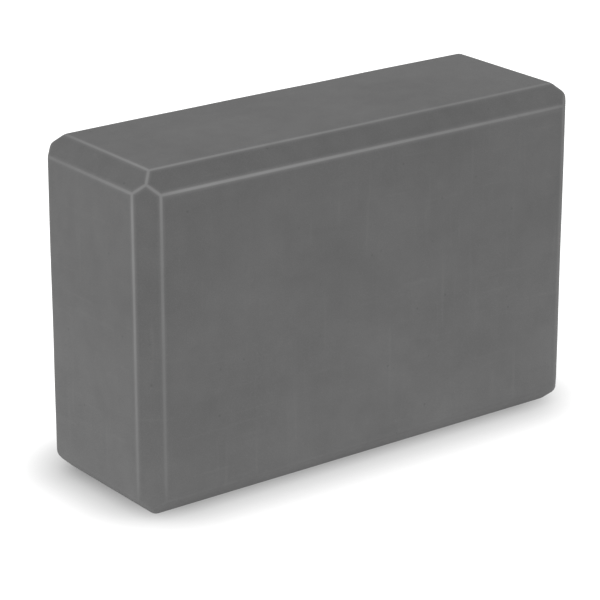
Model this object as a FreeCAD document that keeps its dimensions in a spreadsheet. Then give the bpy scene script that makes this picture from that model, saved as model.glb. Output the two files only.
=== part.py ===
import FreeCAD, Part
import os
import Sketcher

# Yoga block: one bar of firm closed-cell foam, with a flat bevel run along every edge and soft arrises.
# Millimetres. The block stands on a long narrow side, on Z = 0. Its length lies along X, its broad sides
# face -Y and +Y, and the origin is the middle of the face that it stands on.

# Driving sizes
SIZES = {
    "block_length": 230.0,
    "block_thickness": 80.0,
    "block_height": 150.0,
    # how far a bevel reaches in from the sharp edge, along each of the two faces that it joins
    "bevel_leg": 8.5,
    # rounding of each arris where a bevel meets a face or another bevel
    "arris_radius": 2.0,
    # how far outside the bar each bevelling cutter starts
    "cutter_overrun": 5.0,
}
# widest gap, as a share of the volume, between the cut bar and the volume that its sizes call for
VOLUME_GAP_SHARE = 1e-6

# A sketch numbers the points of a line in this order, up from 0, and its own axes down from -1
POINT_ORDER = ("whole line", "start", "end")
AXIS_ORDER = ("horizontal", "vertical")
START = POINT_ORDER.index("start")
END = POINT_ORDER.index("end")
HORIZONTAL_AXIS = -1 - AXIS_ORDER.index("horizontal")
VERTICAL_AXIS = -1 - AXIS_ORDER.index("vertical")
SKETCH_ORIGIN = (HORIZONTAL_AXIS, START)

doc = FreeCAD.newDocument("yoga_block")


def size_sheet():
    """The driving sizes, one row each: its name, then its value under that name as an alias."""
    sheet = doc.addObject("Spreadsheet::Sheet", "sizes")
    for row, (name, value) in enumerate(SIZES.items(), start=1):
        sheet.set(f"A{row}", name)
        sheet.set(f"B{row}", str(value))
        sheet.setAlias(f"B{row}", name)
    doc.recompute()


def sketch_on(body, role, name):
    """An empty sketch on one of the body's own origin planes."""
    planes = {feature.Role: feature for feature in body.Origin.OriginFeatures}
    sketch = body.newObject("Sketcher::SketchObject", name)
    sketch.AttachmentSupport = [(planes[role], "")]
    sketch.MapMode = "FlatFace"
    return sketch


def add_outline(sketch, points):
    """A closed outline of straight lines, joined end to start. Returns its lines."""
    corners = [FreeCAD.Vector(across, up, 0) for across, up in points]
    following = corners[1:] + corners[:1]
    lines = [sketch.addGeometry(Part.LineSegment(a, b), False) for a, b in zip(corners, following)]
    for line, next_line in zip(lines, lines[1:] + lines[:1]):
        sketch.addConstraint(Sketcher.Constraint("Coincident", line, END, next_line, START))
    return lines


def add_size(sketch, kind, first, second, value, expression):
    """A distance from one point to another, driven by the sheet."""
    index = sketch.addConstraint(Sketcher.Constraint(kind, *first, *second, value))
    sketch.setExpression(f"Constraints[{index}]", expression)


def draw_rectangle(sketch, across, up):
    """A rectangle about the sketch's origin, measured by the two named sizes."""
    half_across = SIZES[across] / 2
    half_up = SIZES[up] / 2
    bottom, right, top, left = add_outline(
        sketch,
        [(-half_across, -half_up), (half_across, -half_up), (half_across, half_up), (-half_across, half_up)],
    )
    for line in (bottom, top):
        sketch.addConstraint(Sketcher.Constraint("Horizontal", line))
    for line in (right, left):
        sketch.addConstraint(Sketcher.Constraint("Vertical", line))
    sketch.addConstraint(Sketcher.Constraint("Symmetric", bottom, START, top, START, *SKETCH_ORIGIN))
    add_size(sketch, "DistanceX", (bottom, START), (bottom, END), SIZES[across], f"sizes.{across}")
    add_size(sketch, "DistanceY", (right, START), (right, END), SIZES[up], f"sizes.{up}")


def draw_corner_cutters(sketch, across, up):
    """Four right triangles whose slanted sides cut the bevels across the corners of a rectangle.

    The first one is drawn on the upper right corner and measured. The other three mirror it.
    """
    overrun = SIZES["cutter_overrun"]
    corner_across = SIZES[across] / 2 + overrun
    corner_up = SIZES[up] / 2 + overrun
    leg = SIZES["bevel_leg"] + 2 * overrun
    triangle = [
        (corner_across, corner_up),
        (corner_across - leg, corner_up),
        (corner_across, corner_up - leg),
    ]

    measured = add_outline(sketch, triangle)
    level, slanted, upright = measured
    corner = (level, START)
    sketch.addConstraint(Sketcher.Constraint("Horizontal", level))
    sketch.addConstraint(Sketcher.Constraint("Vertical", upright))
    corner_reach = "sizes.{} / 2 + sizes.cutter_overrun"
    leg_length = "sizes.bevel_leg + 2 * sizes.cutter_overrun"
    add_size(sketch, "DistanceX", SKETCH_ORIGIN, corner, corner_across, corner_reach.format(across))
    add_size(sketch, "DistanceY", SKETCH_ORIGIN, corner, corner_up, corner_reach.format(up))
    add_size(sketch, "DistanceX", (level, END), corner, leg, leg_length)
    add_size(sketch, "DistanceY", (slanted, END), corner, leg, leg_length)

    mirrors = (
        (-1, 1, (VERTICAL_AXIS,)),
        (1, -1, (HORIZONTAL_AXIS,)),
        (-1, -1, SKETCH_ORIGIN),
    )
    for side_across, side_up, mirror in mirrors:
        copied = add_outline(sketch, [(side_across * x, side_up * y) for x, y in triangle])
        for line, copy in zip(measured, copied):
            sketch.addConstraint(Sketcher.Constraint("Symmetric", line, START, copy, START, *mirror))


def sawn_bar(body):
    """The square-edged bar, as sawn from a larger bun of foam, centred on the body's origin."""
    plan = sketch_on(body, "XY_Plane", "bar_plan")
    draw_rectangle(plan, "block_length", "block_thickness")
    bar = body.newObject("PartDesign::Pad", "bar")
    bar.Profile = plan
    bar.SideType = "Symmetric"
    bar.setExpression("Length", "sizes.block_height")
    return bar


def run_bevels(body, name, role, across, up):
    """Four bevels, each cut straight through from end to end along the edges square to one plane.

    Cut this way, the bevels of three directions meet at each corner of the block in one mitred point,
    with no flat facet there.
    """
    section = sketch_on(body, role, f"{name}_section")
    draw_corner_cutters(section, across, up)
    bevels = body.newObject("PartDesign::Pocket", name)
    bevels.Profile = section
    bevels.SideType = "Symmetric"
    bevels.Type = "ThroughAll"
    return bevels


def soften_arrises(body, bevelled):
    """A small rounding on every arris and every mitre between two bevels."""
    arrises = body.newObject("PartDesign::Fillet", "soft_arrises")
    arrises.Base = (bevelled, [""])
    arrises.UseAllEdges = True
    arrises.setExpression("Radius", "sizes.arris_radius")
    return arrises


def bevelled_volume():
    """Volume of the bar with its twelve bevels mitred at eight corners, before the arrises are rounded."""
    length = SIZES["block_length"]
    thickness = SIZES["block_thickness"]
    height = SIZES["block_height"]
    leg = SIZES["bevel_leg"]
    edges = 4 * (length + thickness + height)
    # a corner's three cuts share three quarters of a cube of the leg, which the edges count more than once
    shared_at_corners = 8 * 3 / 4 * leg**3
    return length * thickness * height - edges * leg**2 / 2 + shared_at_corners


def check_document():
    """Stops on any object that failed to recompute."""
    for item in doc.Objects:
        if "Invalid" in item.State or "Error" in item.State:
            raise RuntimeError(f"{item.Name} failed: {item.State}")


def check_cuts(bevelled):
    """Stops if a bevel cut missed the bar."""
    wanted = bevelled_volume()
    found = bevelled.Shape.Volume
    print(f"bevelled bar {found:.1f} mm3, from its sizes {wanted:.1f} mm3")
    if abs(found - wanted) > VOLUME_GAP_SHARE * wanted:
        raise RuntimeError("a bevel cut does not match its sizes")


def write_part(body):
    """Writes the finished solid to the file that its label names."""
    shape = body.Shape
    if shape.isNull() or not shape.isValid():
        raise RuntimeError(f"{body.Label} has no valid shape")
    box = shape.BoundBox
    print(f"{body.Label}: {box.XLength:.2f} x {box.YLength:.2f} x {box.ZLength:.2f} mm")
    print(f"{body.Label}: {shape.Volume:.1f} mm3, {len(shape.Solids)} solid, {len(shape.Faces)} faces")
    shape.exportStep(os.path.join("parts", f"{body.Label}.step"))


os.makedirs("parts", exist_ok=True)
size_sheet()

# The block
foam_block = doc.addObject("PartDesign::Body", "foam_block")
foam_block.Label = "foam_block"
foam_block.setExpression("Placement.Base.z", "sizes.block_height / 2")
sawn_bar(foam_block)
run_bevels(foam_block, "upright_bevels", "XY_Plane", "block_length", "block_thickness")
run_bevels(foam_block, "cross_bevels", "XZ_Plane", "block_length", "block_height")
long_bevels = run_bevels(foam_block, "long_bevels", "YZ_Plane", "block_thickness", "block_height")
doc.recompute()
soften_arrises(foam_block, long_bevels)
doc.recompute()

check_document()
check_cuts(long_bevels)
write_part(foam_block)
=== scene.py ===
# %% [markdown]
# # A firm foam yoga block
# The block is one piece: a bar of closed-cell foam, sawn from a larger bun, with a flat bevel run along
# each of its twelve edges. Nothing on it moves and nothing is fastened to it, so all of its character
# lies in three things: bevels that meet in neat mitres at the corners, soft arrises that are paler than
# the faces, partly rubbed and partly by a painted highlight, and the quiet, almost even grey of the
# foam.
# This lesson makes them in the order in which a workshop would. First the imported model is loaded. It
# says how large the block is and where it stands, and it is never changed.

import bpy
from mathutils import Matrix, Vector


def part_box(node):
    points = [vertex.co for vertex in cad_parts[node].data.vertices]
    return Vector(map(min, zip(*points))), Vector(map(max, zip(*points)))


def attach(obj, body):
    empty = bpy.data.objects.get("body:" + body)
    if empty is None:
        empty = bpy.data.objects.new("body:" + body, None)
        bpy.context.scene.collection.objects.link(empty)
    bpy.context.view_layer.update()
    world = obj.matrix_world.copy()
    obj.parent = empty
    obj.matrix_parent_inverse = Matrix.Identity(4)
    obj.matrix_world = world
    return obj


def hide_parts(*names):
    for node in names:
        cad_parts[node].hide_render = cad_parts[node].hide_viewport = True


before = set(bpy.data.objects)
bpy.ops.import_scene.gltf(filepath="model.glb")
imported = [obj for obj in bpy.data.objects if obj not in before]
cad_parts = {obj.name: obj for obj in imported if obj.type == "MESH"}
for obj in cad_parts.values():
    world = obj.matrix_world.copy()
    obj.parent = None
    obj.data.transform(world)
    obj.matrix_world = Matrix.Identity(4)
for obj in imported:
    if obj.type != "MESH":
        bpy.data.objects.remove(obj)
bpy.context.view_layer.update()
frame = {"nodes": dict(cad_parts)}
print("pieces in the packed model:", ", ".join(frame["nodes"]))

# %% Other modules that the lesson uses
import math
import random
from itertools import combinations, product

import bmesh
import bpy
import numpy as np
from mathutils import Vector

print("Blender", bpy.app.version_string)

# %% [markdown]
# ## The sizes
# The block's length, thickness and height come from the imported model's box, so the new piece fits it
# with no second measurement. Two more sizes are needed. The bevel leg is how far a bevel reaches in from
# the sharp edge along each of its two faces, and the arris radius is how soft the edges between the
# flats are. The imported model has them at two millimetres, as a cutter and fine paper leave them. Here
# they are rounder, as on foam that has been handled. The surface lies less than a millimetre deeper for
# it.

# %% Sizes of the block, in metres
block_low, block_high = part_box("foam_block")
BLOCK_SIZE = block_high - block_low
BLOCK_MIDDLE = (block_low + block_high) / 2
HALF_SIZE = BLOCK_SIZE / 2
AXES = range(3)
UP_AXIS = 2
BEVEL_LEG = 0.0085
ARRIS_RADIUS = 0.005
print("block, mm:", [round(1000 * side, 1) for side in BLOCK_SIZE])

# %% [markdown]
# ## The sawn bar
# Foam comes as a thick bun, and a band saw cuts bars from it. The bar could be extruded from a
# rectangle, but a cube primitive scaled to the block's size is there in one step. Everything is
# deselected first, because an operator acts on all that is selected, and the scale and place are then
# applied, so that the object sits at the origin and its place is in its mesh.

# %% Saw the bar
bpy.ops.object.select_all(action="DESELECT")
bpy.ops.mesh.primitive_cube_add(size=1, location=BLOCK_MIDDLE)
block = bpy.context.object
block.name = "bevelled_foam_block"
block.scale = BLOCK_SIZE
bpy.ops.object.transform_apply(location=True, rotation=True, scale=True)
print("sawn bar:", len(block.data.polygons), "faces")

# %% [markdown]
# ## The bevels
# Each bevel is one straight pass of a cutter along an edge, from end to end. Blender's own bevel tool
# would put a small triangle at each corner, where three bevels meet. On this block they meet in a single
# mitred point instead, as cuts that run right through do, so each bevel is made with bisect: it cuts the
# whole bar with a plane, takes the outer side off and fills the cut. Foam gives a little under the
# cutter, so each plane strays from true by about a tenth of a millimetre, in a way that is the same on
# every run.

# %% Where the twelve cuts run
FEED_STRAY = 0.00012
FEED_SLOPE = 0.0008
FEED_SEED = 12
feed = random.Random(FEED_SEED)


def bevel_cut(across, up, side_across, side_up):
    """A point and a normal for the bevel between two faces of the bar, a little out of true."""
    (run,) = set(AXES) - {across, up}
    normal = Vector((0, 0, 0))
    normal[across] = side_across
    normal[up] = side_up
    normal.normalize()
    point = BLOCK_MIDDLE.copy()
    point[across] += side_across * (HALF_SIZE[across] - BEVEL_LEG)
    point[up] += side_up * HALF_SIZE[up]
    point += normal * feed.uniform(-FEED_STRAY, FEED_STRAY)
    normal[run] += feed.uniform(-FEED_SLOPE, FEED_SLOPE)
    return point, normal.normalized()


bevel_cuts = [
    bevel_cut(across, up, side_across, side_up)
    for across, up in combinations(AXES, 2)
    for side_across, side_up in product((-1, 1), repeat=2)
]
print("bevels to cut:", len(bevel_cuts))

# %% Run the bevels
CUT_TOLERANCE = 1e-6


def cut(point, normal, take_off):
    """Cuts the whole bar with a plane. With take_off, the side that the normal points to comes off."""
    bpy.ops.mesh.select_all(action="SELECT")
    bpy.ops.mesh.bisect(
        plane_co=point,
        plane_no=normal,
        clear_outer=take_off,
        use_fill=take_off,
        threshold=CUT_TOLERANCE,
    )


bpy.ops.object.mode_set(mode="EDIT")
bpy.ops.mesh.select_mode(type="FACE")
for point, normal in bevel_cuts:
    cut(point, normal, take_off=True)
flats = len(bmesh.from_edit_mesh(block.data).faces)
print("after the bevels:", flats, "flats")

# %% [markdown]
# ## The soft arrises
# An arris is the edge where two flats meet. A cutter leaves it crisp, fine paper takes the crispness
# off, and use makes it rounder still. A subdivision surface would swell the flats as well, so Blender's
# bevel is the right tool here. As a modifier it rounds every edge of the mesh in one go and closes the
# corners neatly, and applied, it becomes plain mesh. It asks for a width, not for a radius: an arc
# reaches its radius times the tangent of half its turn along each flat. At an arris two flats turn by 45
# degrees. At a mitre two bevels turn by 60, so the same width rounds a mitre a little tighter.

# %% Round every arris and mitre
ARRIS_TURN = math.radians(45)
MITRE_TURN = math.radians(60)
ROUND_STEPS = 12

round_width = ARRIS_RADIUS * math.tan(ARRIS_TURN / 2)
mitre_radius = round_width / math.tan(MITRE_TURN / 2)
bpy.ops.object.mode_set(mode="OBJECT")
bpy.ops.object.modifier_add(type="BEVEL")
rounding = block.modifiers[-1]
rounding.offset_type = "OFFSET"
rounding.width = round_width
rounding.segments = ROUND_STEPS
bpy.ops.object.modifier_apply(modifier=rounding.name)
print(f"mitres rounded to {1000 * mitre_radius:.1f} mm,", len(block.data.polygons), "faces")

# %% [markdown]
# ## A frame and a grid on the flats
# Smooth shading blends the direction of neighbouring faces, and on a large flat beside a tiny rounding
# the blend would spread over the whole flat as a false shadow. A narrow inset frame inside each flat
# holds it at the edge. After that, evenly spaced cuts lay a grid over the block, so that the flats have
# points of their own to move when the foam gets its slow unevenness.

# %% Inset a narrow frame in each flat
FRAME_WIDTH = 0.0012
SMALLEST_FLAT = 0.0003

bpy.ops.object.mode_set(mode="EDIT")
bpy.ops.mesh.select_all(action="DESELECT")
shape = bmesh.from_edit_mesh(block.data)
for face in shape.faces:
    face.select_set(face.calc_area() > SMALLEST_FLAT)
framed = sum(face.select for face in shape.faces)
bmesh.update_edit_mesh(block.data)
bpy.ops.mesh.inset(thickness=FRAME_WIDTH, use_individual=True)
print("framed flats:", framed)

# %% Cut the grid
GRID_STEP = 0.005
GRID_MARGIN = 0.006


def grid_places(axis):
    """Evenly spaced places along one axis, clear of the bevels and of the frames beside them."""
    reach = HALF_SIZE[axis] - BEVEL_LEG - GRID_MARGIN
    steps = round(2 * reach / GRID_STEP)
    return [BLOCK_MIDDLE[axis] - reach + 2 * reach * step / steps for step in range(steps + 1)]


for axis in AXES:
    normal = Vector((0, 0, 0))
    normal[axis] = 1
    for place_on_axis in grid_places(axis):
        cut(normal * place_on_axis, normal, take_off=False)
bpy.ops.mesh.select_all(action="DESELECT")
bpy.ops.object.mode_set(mode="OBJECT")
print("after the grid:", len(block.data.polygons), "faces")

# %% [markdown]
# ## Marking the arrises and the bevels
# Hands, mats and other blocks rub the arrises first, and a painted highlight lies on them as well, so
# the finish needs to know where they are. They could be painted on by hand, but there are 48 of them
# with the mitres, so a sum finds them. Each point of the mesh is measured against all eighteen planes
# that bound the block. A point on a flat is near one plane alone. A point in the middle of an arris is
# equally near to the two that meet there, so the difference between two depths tells how far aside of
# that middle a point lies.

# %% Measure the distance to every plane
def face_plane(axis, side):
    """A point and a normal for one of the bar's six sawn faces."""
    normal = Vector((0, 0, 0))
    normal[axis] = side
    return BLOCK_MIDDLE + normal * HALF_SIZE[axis], normal


def mesh_points():
    """The block's points as an array, one row each."""
    points = np.empty(3 * len(block.data.vertices))
    block.data.vertices.foreach_get("co", points)
    return points.reshape(-1, 3)


sawn_faces = [face_plane(axis, side) for axis in AXES for side in (-1, 1)]
planes = sawn_faces + bevel_cuts
normals = np.array([normal for _, normal in planes])
offsets = np.array([normal.dot(point) for point, normal in planes])
depths = offsets - mesh_points() @ normals.T
print("points measured:", len(depths))

# %% [markdown]
# Two planes meet where their normals lean the same way: at an arris if one of them is a sawn face, and
# at a mitre if both are bevels. These edges aren't all equally pale, because the pale line is partly
# rubbing and partly a painted highlight. The painted highlight is strongest on the rim of the broad
# faces towards the top, and the arrises at the foot are left almost without a line, as in shade. A small
# table holds a share for each kind of arris.

# %% Which planes meet
# how far two normals have to agree, as a cosine: it is 0.7 at an arris and 0.5 at a mitre
LEAST_AGREEMENT = 0.4


def meet(first, second):
    """Whether two planes meet at an arris or a mitre."""
    return normals[first] @ normals[second] > LEAST_AGREEMENT


edges = [pair for pair in combinations(range(len(planes)), 2) if meet(*pair)]
print("arrises and mitres:", len(edges))

# %% How pale each arris is, from rubbing and a painted highlight
# rows: an arris of an end, of a broad face, and of the top
# columns: the face that the bevel beside the arris leads to, in the same order
# sawn faces are numbered in opposite pairs, so half a face's number, rounded down, is its row
RUB_AND_HIGHLIGHT_SHARES = (
    (0, 0.74, 0.56),
    (0.52, 0, 1),
    (0.63, 0.64, 0),
)
# the mitres' share, and the share at the foot, where the painted highlight is left off as in shade
MITRE_RUB_AND_HIGHLIGHT = 0.6
FOOT_RUB_AND_HIGHLIGHT = 0.1
# how far down a normal leans, as a cosine, if its plane is at the foot
FOOT_LEAN = 0.4


def edge_rub_and_highlight(first, bevel):
    """How pale an edge is, by rubbing and a painted highlight. It lies between a sawn face, or another
    bevel, and a bevel.
    """
    if min(normals[first, UP_AXIS], normals[bevel, UP_AXIS]) < -FOOT_LEAN:
        return FOOT_RUB_AND_HIGHLIGHT
    if first >= len(sawn_faces):
        return MITRE_RUB_AND_HIGHLIGHT
    beside = [face for face in range(len(sawn_faces)) if meet(face, bevel)]
    other = sum(beside) - first
    return RUB_AND_HIGHLIGHT_SHARES[first // 2][other // 2]


print("edges at the foot:", sum(edge_rub_and_highlight(*edge) == FOOT_RUB_AND_HIGHLIGHT for edge in edges))

# %% [markdown]
# A mark is an attribute: a number for each point, which the material reads by its name. The arris mark
# is full in the middle of a rounding and falls off to both sides, so that the pale line has a soft edge.
# Where edges meet, the nearest one sets the line, and their shares of rubbing and painted highlight
# blend over a few millimetres, so that one line runs into the next without a step. The bevel mark is for
# the cutter's finish, which is a touch darker than the saw's.

# %% Keep the marks
# how far aside of a rounding's middle the mark starts to fall, is a quarter and ends
LINE_SIDES = (0.0004, 0.0008, 0.0019)
LINE_MARKS = (1, 0.25, 0)
# how far from a meeting of edges their shares of rubbing and painted highlight blend
RUB_AND_HIGHLIGHT_BLEND = 0.0025


def aside_of(first, bevel):
    """How far each point lies aside of the middle of the edge between two planes that meet."""
    turn = MITRE_TURN if first >= len(sawn_faces) else ARRIS_TURN
    further = np.maximum(depths[:, first], depths[:, bevel])
    return (further - depths.min(axis=1)) / (2 * math.sin(turn / 2))


def keep_mark(name, values):
    """Stores one number for each point on the mesh."""
    mark = block.data.attributes.new(name, "FLOAT", "POINT")
    mark.data.foreach_set("value", values.astype(np.float32))
    print(f"{name} mark on", int((values > 0).sum()), "of", len(values), "points")


asides = np.array([aside_of(*edge) for edge in edges])
line = np.interp(asides.min(axis=0), LINE_SIDES, LINE_MARKS)
nearness = np.exp(-asides / RUB_AND_HIGHLIGHT_BLEND)
# each point's share of rubbing and painted highlight, blended from the edges near it
point_rub_and_highlight = np.array([edge_rub_and_highlight(*edge) for edge in edges]) @ nearness / nearness.sum(axis=0)
keep_mark("arris", line * point_rub_and_highlight)
keep_mark("bevel", depths.argmin(axis=1) >= len(sawn_faces))

# %% [markdown]
# ## Slow unevenness
# Sawn foam is never as flat as metal. It swells and settles by a fraction of a millimetre over the width
# of a hand, which is just enough to make the light on a face cloudy. It could be sculpted, but a
# Displace modifier with a soft cloud texture does it to all points at once, and alike on every run. A
# vertex group fades it out towards the floor, so that the block still stands flat.

# %% Let the faces settle
SETTLE_SPAN = 0.06
SETTLE_DEPTH = 0.0004
SETTLE_DETAIL = 1
# the cloud's tone that leaves a point where it is
SETTLE_MIDDLE = 0.5
# the heights at which the unevenness starts and is full
FOOT_FLAT = 0.001
FOOT_FADE = 0.012

free = block.vertex_groups.new(name="free_of_the_floor")
heights = mesh_points()[:, UP_AXIS] - block_low.z
for index, height in enumerate(heights):
    rise = min(max((height - FOOT_FLAT) / (FOOT_FADE - FOOT_FLAT), 0), 1)
    free.add([index], rise, "REPLACE")

clouds = bpy.data.textures.new("settled_foam", "CLOUDS")
clouds.noise_scale = SETTLE_SPAN
clouds.noise_depth = SETTLE_DETAIL
bpy.ops.object.modifier_add(type="DISPLACE")
settle = block.modifiers[-1]
settle.texture = clouds
settle.texture_coords = "LOCAL"
settle.strength = SETTLE_DEPTH
settle.mid_level = SETTLE_MIDDLE
settle.vertex_group = free.name
before = mesh_points()
bpy.ops.object.modifier_apply(modifier=settle.name)
moved = np.linalg.norm(mesh_points() - before, axis=1)
bpy.ops.object.shade_smooth()
print(f"settled by up to {1000 * moved.max():.2f} mm")

# %% [markdown]
# ## Sums on shader sockets
# A material is a graph of nodes, and a sum such as 1 - mask takes a Math node for each sign in it. This
# small class wraps a socket, so that sums are written as in Python and the Math nodes are added behind
# them. Its one method, add, makes any other node: its settings are set first, and then each input gets a
# number or a link.

# %% A socket that can be used in sums
class Wire:
    """An output socket of a node tree. The first wire of a tree has no socket, and only adds nodes."""

    def __init__(self, tree, socket=None):
        self.tree = tree
        self.socket = socket

    def add(self, kind, settings=None, values=None, output=None):
        """Adds a node. Settings, input values and links are given by name. Returns the named output."""
        node = self.tree.nodes.new(kind)
        for name, setting in (settings or {}).items():
            setattr(node, name, setting)
        inputs = {socket.identifier: socket for socket in node.inputs}
        for name, value in (values or {}).items():
            if isinstance(value, Wire):
                self.tree.links.new(value.socket, inputs[name])
            else:
                inputs[name].default_value = value
        outputs = {socket.identifier: socket for socket in node.outputs}
        return Wire(self.tree, outputs[output] if output else None)

    def math_node(self, operation, first, second):
        """A Math node on two wires or numbers."""
        return self.add(
            "ShaderNodeMath",
            {"operation": operation},
            {"Value": first, "Value_001": second},
            "Value",
        )

    def __add__(self, other):
        return self.math_node("ADD", self, other)

    def __radd__(self, other):
        return self.math_node("ADD", other, self)

    def __sub__(self, other):
        return self.math_node("SUBTRACT", self, other)

    def __rsub__(self, other):
        return self.math_node("SUBTRACT", other, self)

    def __mul__(self, other):
        return self.math_node("MULTIPLY", self, other)

    def __rmul__(self, other):
        return self.math_node("MULTIPLY", other, self)


def fresh_tree(owner):
    """An empty node tree on a material or a world, as a wire to add nodes with."""
    owner.use_nodes = True
    owner.node_tree.nodes.clear()
    return Wire(owner.node_tree)


def mixed(first, second, share):
    """A colour between two colours."""
    return share.add(
        "ShaderNodeMix",
        {"data_type": "RGBA"},
        {"Factor_Float": share, "A_Color": first, "B_Color": second},
        "Result_Color",
    )


def vector_sum(operation, first, second=(0, 0, 0), output="Vector"):
    """A Vector Math node on a wire, with a second vector where the operation takes one."""
    values = {"Vector": first, "Vector_001": second}
    return first.add("ShaderNodeVectorMath", {"operation": operation}, values, output)


def grey(tone):
    """A neutral colour of one tone."""
    return (tone, tone, tone, 1)


print("shader sums are ready")

# %% [markdown]
# ## The foam's grey
# The grey is coloured through, and close to even. Look longer and it has soft clouds a few centimetres
# wide, smaller patches, and faint lines where the saw and the sander passed. A picture of foam could be
# wrapped round the block, but it would show its seams and blur from close up. Noise does neither, so
# each of these is a noise of its own scale. The lines are the same noise, stretched along one direction.

# %% Clouds, patches and saw lines
CLOUD_SIZE = 0.065
# where in the noise the block lies, in steps of the clouds
CLOUD_START = (11.1, 5.7, 6.9)
CLOUD_DETAIL = 3.0
PATCH_SIZE = 0.009
PATCH_DETAIL = 1.0
LINE_WIDTH = 0.004
LINE_LENGTH = 0.15
NOISE_DETAIL = 2.0
NOISE_ROUGHNESS = 0.55
NOISE_MIDDLE = 0.5

foam = bpy.data.materials.new("closed_cell_foam")
surface = fresh_tree(foam)
place = surface.add("ShaderNodeTexCoord", output="Object")


def noise(where, detail=NOISE_DETAIL):
    """Soft noise about zero, from -0.5 to 0.5. The place is already in steps of the noise."""
    values = {"Vector": where, "Scale": 1.0, "Detail": detail, "Roughness": NOISE_ROUGHNESS}
    return surface.add("ShaderNodeTexNoise", {}, values, "Fac") - NOISE_MIDDLE


def in_steps(steps):
    """The place on the block, counted in steps of the given size along x, y and z."""
    return vector_sum("MULTIPLY", place, tuple(1 / step for step in steps))


clouding = noise(vector_sum("ADD", in_steps((CLOUD_SIZE,) * 3), CLOUD_START), CLOUD_DETAIL)
patches = noise(in_steps((PATCH_SIZE,) * 3), PATCH_DETAIL)
upright_lines = noise(in_steps((LINE_WIDTH, LINE_WIDTH, LINE_LENGTH)))
level_lines = noise(in_steps((LINE_LENGTH, LINE_WIDTH, LINE_WIDTH)))
print("noises of the foam:", len(foam.node_tree.nodes), "nodes so far")

# %% [markdown]
# From close up the foam is all cells, less than half a millimetre wide, which the saw has cut open.
# Modelled, they would be millions of dents, so they are left to a texture. Voronoi scatters points
# through the foam, each the middle of a cell, and gives the distance to the nearest one. Here and there
# lies a much larger cell, which leaves a pit. Where the surface cuts one off centre the pit is small,
# and most are missed altogether, so the pits come in all sizes by themselves. Both are dents in the
# bump, and their colour is darker towards their middles as painted shade.

# %% Cells and pits
CELL_SIZE = 0.00035
# about the middle of the distances, so that the cells neither lift nor darken the foam as a whole
CELL_MIDDLE = 0.5
PIT_SPACING = 0.011
PIT_RADIUS = 0.0009


def from_middle(spacing):
    """The distance to the middle of the nearest cell, in steps of the cells' spacing."""
    values = {"Vector": in_steps((spacing,) * 3), "Scale": 1.0}
    return surface.add("ShaderNodeTexVoronoi", {}, values, "Distance")


# a dent in the bump and painted shade in the colour: below 0 towards each cell's middle
cells = from_middle(CELL_SIZE) - CELL_MIDDLE
# a pit: 1 in its middle, a dent in the bump and painted shade in the colour
depth_values = {
    "Value": from_middle(PIT_SPACING),
    "From Max": PIT_RADIUS / PIT_SPACING,
    "To Min": 1.0,
    "To Max": 0.0,
}
pits = surface.add("ShaderNodeMapRange", {"interpolation_type": "SMOOTHSTEP"}, depth_values, "Result")
print("with cells and pits:", len(foam.node_tree.nodes), "nodes so far")

# %% [markdown]
# Floors and mats leave short scuffs, along or across the block. They are noise squeezed into streaks, of
# which only the strongest are kept: below a threshold the share is 0.

# %% Scuffs
SCUFF_WIDTH = 0.003
SCUFF_LENGTH = 0.045
# the noise at which a scuff starts to show and is full
SCUFF_FROM = 0.12
SCUFF_FULL = 0.3


def strongest(streaks):
    """Keeps the strongest streaks of a noise, from 0 to 1."""
    values = {"Value": streaks, "From Min": SCUFF_FROM, "From Max": SCUFF_FULL}
    return surface.add("ShaderNodeMapRange", {}, values, "Result")


upright_scuffs = strongest(noise(in_steps((SCUFF_WIDTH, SCUFF_WIDTH, SCUFF_LENGTH))))
level_scuffs = strongest(noise(in_steps((SCUFF_LENGTH, SCUFF_LENGTH, SCUFF_WIDTH))))
scuffs = upright_scuffs + level_scuffs
print("with scuffs:", len(foam.node_tree.nodes), "nodes so far")

# %% [markdown]
# All of them are added to a middle tone, each with a share of its own, and the sum picks a colour
# between a darker and a lighter grey. Scuffs are a little paler than the rest and bevels a little
# darker. The cells and the pits are a little darker towards their middles, as painted shade.

# %% Mix the grey
FOAM_DARK = 0.105
FOAM_LIGHT = 0.165
MIDDLE_TONE = 0.52
CLOUD_SHARE = 0.85
PATCH_SHARE = 0.3
LINE_SHARE = 0.08
# painted shade in the cells' dents
CELL_SHADE_SHARE = 0.45
SCUFF_SHARE = 0.15
BEVEL_SHARE = 0.1
# painted shade in the pits
PIT_SHADE_SHARE = 0.4

on_bevel = surface.add("ShaderNodeAttribute", {"attribute_name": "bevel"}, output="Fac")
lines = upright_lines + level_lines
slow_tone = MIDDLE_TONE + CLOUD_SHARE * clouding + PATCH_SHARE * patches
tone = slow_tone + LINE_SHARE * lines + CELL_SHADE_SHARE * cells
marked = tone + SCUFF_SHARE * scuffs - BEVEL_SHARE * on_bevel - PIT_SHADE_SHARE * pits
foam_grey = mixed(grey(FOAM_DARK), grey(FOAM_LIGHT), marked)
print("foam grey from", FOAM_DARK, "to", FOAM_LIGHT)

# %% [markdown]
# ## Rubbed arrises with a painted highlight
# The arrises are paler than the faces, partly from rubbing and partly from a painted highlight, and
# unevenly so: the painted highlight makes the upper ones palest, and most of all at two opposite
# corners.
# The arris mark says where, two fades say how much, and noise breaks it up. The product of the places
# along x and y is 1 at one pair of opposite corners and -1 at the other, which makes the second fade.
# The pale grey goes over the foam's grey by that share.

# %% Pale arrises, rubbed and with a painted highlight
# the pale grey is partly rubbed foam and partly a painted highlight
RUBBED_AND_HIGHLIGHT_GREY = 0.285
# how much of the painted highlight is left at the foot and at the two weaker corners
HIGHLIGHT_AT_FOOT = 0.25
HIGHLIGHT_AWAY_FROM_CORNERS = 0.45
PALE_LINE_PATCH = 0.02
PALE_LINE_UNEVEN = 0.5

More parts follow.
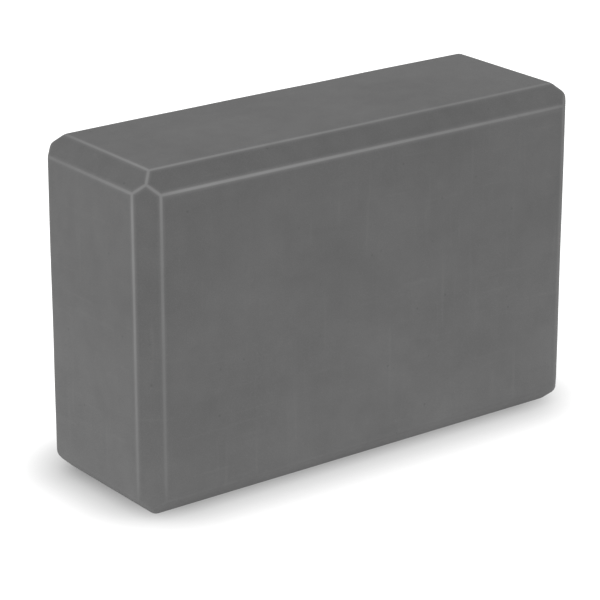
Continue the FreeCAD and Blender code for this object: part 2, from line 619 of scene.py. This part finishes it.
near_arris = surface.add("ShaderNodeAttribute", {"attribute_name": "arris"}, output="Fac")
from_middle_of_block = vector_sum("DIVIDE", vector_sum("SUBTRACT", place, BLOCK_MIDDLE), HALF_SIZE)


def along(axis):
    """The place on the block along one axis, from -1 to 1."""
    return surface.add("ShaderNodeSeparateXYZ", {}, {"Vector": from_middle_of_block}, axis)


def fade(where, least):
    """A share that grows from least to 1 as a place goes from -1 to 1."""
    values = {"Value": where, "From Min": -1.0, "To Min": least}
    return surface.add("ShaderNodeMapRange", {}, values, "Result")


# painted highlight: palest at the top and at two opposite corners, less towards the foot
highlight_by_height = fade(along("Z"), HIGHLIGHT_AT_FOOT)
highlight_by_corner = fade(along("X") * along("Y"), HIGHLIGHT_AWAY_FROM_CORNERS)
uneven = 1 + PALE_LINE_UNEVEN * noise(in_steps((PALE_LINE_PATCH,) * 3))
rub_and_highlight = near_arris * highlight_by_height * highlight_by_corner * uneven
foam_colour = mixed(foam_grey, grey(RUBBED_AND_HIGHLIGHT_GREY), rub_and_highlight)
print("with rubbed arrises:", len(foam.node_tree.nodes), "nodes so far")

# %% [markdown]
# ## Feel
# Cut foam is matt, and a little smoother where it is rubbed. Its cells are too small to model, so they
# are a bump: they tilt the light on the surface and leave its outline alone. All sockets that stay the
# same over the whole block are set on the shader itself.

# %% Roughness and bump
SAWN_ROUGHNESS = 0.78
CLOUD_ROUGHNESS = 0.1
RUBBED_SMOOTHING = 0.12
CELL_DEPTH = 0.0001
# how deep the saw lines and the pits are beside a cell
LINE_RELIEF = 0.25
PIT_RELIEF = 2
RELIEF_STRENGTH = 0.6

roughness = SAWN_ROUGHNESS + CLOUD_ROUGHNESS * clouding - RUBBED_SMOOTHING * rub_and_highlight
relief = cells + LINE_RELIEF * lines - PIT_RELIEF * pits
bump_values = {"Strength": RELIEF_STRENGTH, "Distance": CELL_DEPTH, "Height": relief}
bumped = surface.add("ShaderNodeBump", {}, bump_values, "Normal")
print(f"cells {1000 * CELL_SIZE:.2f} mm wide and {1000 * CELL_DEPTH:.2f} mm deep")

# %% The foam's shader
FOAM_GLOSS = 0.17

shader_values = {
    "Base Color": foam_colour,
    "Roughness": roughness,
    "Specular IOR Level": FOAM_GLOSS,
    "Normal": bumped,
}
shader = surface.add("ShaderNodeBsdfPrincipled", {}, shader_values, "BSDF")
surface.add("ShaderNodeOutputMaterial", {}, {"Surface": shader})
block.data.materials.append(foam)
print("foam material:", len(foam.node_tree.nodes), "nodes")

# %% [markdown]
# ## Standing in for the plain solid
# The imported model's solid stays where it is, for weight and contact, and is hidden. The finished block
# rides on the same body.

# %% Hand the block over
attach(block, "root")
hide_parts("foam_block")
print(block.name, "stands for foam_block")

# %% [markdown]
# ## The floor and the light around it
# The block stands on a plain table in an even white room, as small things for sale are pictured. A lit
# panel under the table's top sends a little light up, which reaches the bevels at the foot. They would
# otherwise be lost in the dark. How bright the table looks is a matter of its own: a Light Path node
# tells the rays that look at it, straight or in a reflection, from the rays that only carry its light.
# Looked at, it is pure white a few centimetres away from the block. Close to the foot it is lifted
# less, which keeps the rendered soft shadow and paints more shadow over it, a little deeper and wider
# behind the block than in front.

# %% Rays that look and rays that light
def looked_at(tree):
    """1 for rays that look at a surface, straight or by reflection, and 0 for rays that carry light."""
    straight = tree.add("ShaderNodeLightPath", output="Is Camera Ray")
    mirrored = tree.add("ShaderNodeLightPath", output="Is Glossy Ray")
    through = tree.add("ShaderNodeLightPath", output="Is Transmission Ray")
    return straight + mirrored + through


print("rays that look: straight, mirrored and through glass")

# %% Stand the table under the block
TABLE_SPAN = 12

bpy.ops.object.select_all(action="DESELECT")
bpy.ops.mesh.primitive_plane_add(size=TABLE_SPAN, location=(0, 0, block_low.z))
table = bpy.context.object
table.name = "white_table"
table_finish = bpy.data.materials.new("glowing_white_table")
paint = fresh_tree(table_finish)
table_place = paint.add("ShaderNodeTexCoord", output="Object")
print("table", TABLE_SPAN, "m wide")

# %% How far from the block's foot
# how round the painted shadow's corners are, and how much further it reaches behind the block
GLOW_CORNER = 0.02
SHADE_BEHIND = 0.008

# the distance from the face that the block stands on, taken as a rectangle with round corners
inner_side = BEVEL_LEG + GLOW_CORNER
core = (HALF_SIZE.x - inner_side, HALF_SIZE.y + SHADE_BEHIND / 2 - inner_side, 0)
from_core = vector_sum("SUBTRACT", table_place, (0, SHADE_BEHIND / 2, 0))
past_core = vector_sum("SUBTRACT", vector_sum("ABSOLUTE", from_core), core)
away = vector_sum("LENGTH", vector_sum("MAXIMUM", past_core), output="Value") - GLOW_CORNER
print("distance from the foot:", len(table_finish.node_tree.nodes), "nodes so far")

# %% The glow that is seen, lowered at the foot as painted shadow
# the glow beside the foot, in front of the block and behind it, where it paints the shadow, and how far
# from the foot it is full
GLOW_IN_FRONT = 0.33
GLOW_BEHIND = 0.19
FULL_GLOW_AT = 0.037

backwards = paint.add("ShaderNodeSeparateXYZ", {}, {"Vector": table_place}, "Y")
foot_values = {
    "Value": backwards,
    "From Min": -HALF_SIZE.y,
    "From Max": HALF_SIZE.y,
    "To Min": GLOW_IN_FRONT,
    "To Max": GLOW_BEHIND,
}
glow_in_painted_shadow = paint.add("ShaderNodeMapRange", {}, foot_values, "Result")
glow_values = {"Value": away, "From Max": FULL_GLOW_AT, "To Min": glow_in_painted_shadow}
glow = paint.add("ShaderNodeMapRange", {}, glow_values, "Result")
seen_glow_with_painted_shadow = mixed(grey(0.0), grey(1.0), glow)
print("glow beside the foot from", GLOW_IN_FRONT, "in front to", GLOW_BEHIND, "behind")

# %% The light that the panel gives
PANEL_LIGHT = 0.73
# how far from the block the light starts to fade and ends
PANEL_RIM = (0.3, 0.45)

panel_values = {
    "Value": away,
    "From Min": PANEL_RIM[0],
    "From Max": PANEL_RIM[1],
    "To Min": 1.0,
    "To Max": 0.0,
}
panel = paint.add("ShaderNodeMapRange", {}, panel_values, "Result")
given_glow = mixed(grey(0.0), grey(PANEL_LIGHT), panel)
print("panel light:", PANEL_LIGHT)

# %% The table's finish
TABLE_TONE = 0.35
TABLE_ROUGHNESS = 0.9

table_values = {
    "Base Color": grey(TABLE_TONE),
    "Roughness": TABLE_ROUGHNESS,
    "Specular IOR Level": 0.0,
    "Emission Color": mixed(given_glow, seen_glow_with_painted_shadow, looked_at(paint)),
    "Emission Strength": 1.0,
}
table_shader = paint.add("ShaderNodeBsdfPrincipled", {}, table_values, "BSDF")
paint.add("ShaderNodeOutputMaterial", {}, {"Surface": table_shader})
table.data.materials.append(table_finish)
print("table finish:", len(table_finish.node_tree.nodes), "nodes")

# %% White room
room = bpy.data.worlds.new("white_room")
bpy.context.scene.world = room
air = fresh_tree(room)
room_shader = air.add("ShaderNodeBackground", {}, {"Color": grey(1.0), "Strength": 1.0}, "Background")
air.add("ShaderNodeOutputWorld", {}, {"Surface": room_shader})
print("room:", room.name)

# %% [markdown]
# ## Two soft lamps
# The room lights the block from all sides alike, and that alone would leave the ends as grey as the
# broad faces. A sun would draw hard shadows, so the light comes from soft cards. A long low card of
# light stands off each end, and makes the ends the lightest, most of all towards the foot. The left one,
# on the camera's side, is the stronger. A card is an area lamp, which shines along its own -Z, so
# to_track_quat turns that axis to the block.

# %% Stand a lit card off each end
CARD_AWAY = 0.7
CARD_MIDDLE = 0.05
CARD_WIDTH = 0.7
CARD_HEIGHT = 0.1
LEFT_WATTS = 0.62
RIGHT_WATTS = 0.4

for name, side, watts in (("left_card", -1, LEFT_WATTS), ("right_card", 1, RIGHT_WATTS)):
    card_place = Vector((side * CARD_AWAY, 0, CARD_MIDDLE))
    bpy.ops.object.light_add(type="AREA", location=card_place)
    card = bpy.context.object
    card.name = name
    card.rotation_euler = (BLOCK_MIDDLE - card_place).to_track_quat("-Z", "Y").to_euler()
    card.data.shape = "RECTANGLE"
    card.data.size = CARD_WIDTH
    card.data.size_y = CARD_HEIGHT
    card.data.energy = watts
    print(f"{name}: {watts} W, {CARD_WIDTH} x {CARD_HEIGHT} m")

# %% [markdown]
# ## The camera
# The camera looks down on the near left corner with a long lens, as for a catalogue picture. It could be
# aimed by eye. Here its numbers come from fitting the block's edges to a picture, so they aren't round.
# It is placed by two angles and a distance round the middle of the block, and then slid a little
# sideways and down, so that the block lies where it should in the frame.

# %% Set the camera
CAMERA_TURN = math.radians(-36.801)
CAMERA_RISE = math.radians(20.148)
CAMERA_DISTANCE = 1.209
SLIDE_RIGHT = -0.00652
SLIDE_UP = -0.01191
LENS_MM = 166.8
SENSOR_MM = 36

back = Vector((
    math.sin(CAMERA_TURN) * math.cos(CAMERA_RISE),
    -math.cos(CAMERA_TURN) * math.cos(CAMERA_RISE),
    math.sin(CAMERA_RISE),
))
turn = (-back).to_track_quat("-Z", "Y")
slide = turn @ Vector((SLIDE_RIGHT, SLIDE_UP, 0))
bpy.ops.object.camera_add(location=BLOCK_MIDDLE + back * CAMERA_DISTANCE + slide)
camera = bpy.context.object
camera.rotation_euler = turn.to_euler()
camera.data.lens = LENS_MM
camera.data.sensor_width = SENSOR_MM
bpy.context.scene.camera = camera
bpy.context.scene.view_settings.view_transform = "Standard"
print("camera at", [round(value, 3) for value in camera.location])

# %% [markdown]
# ## Last count
# The finished block may stand only a hair outside the imported model's box. Its triangles are counted.

# %% Count the triangles
print("triangles:", sum(len(face.vertices) - 2 for face in block.data.polygons))
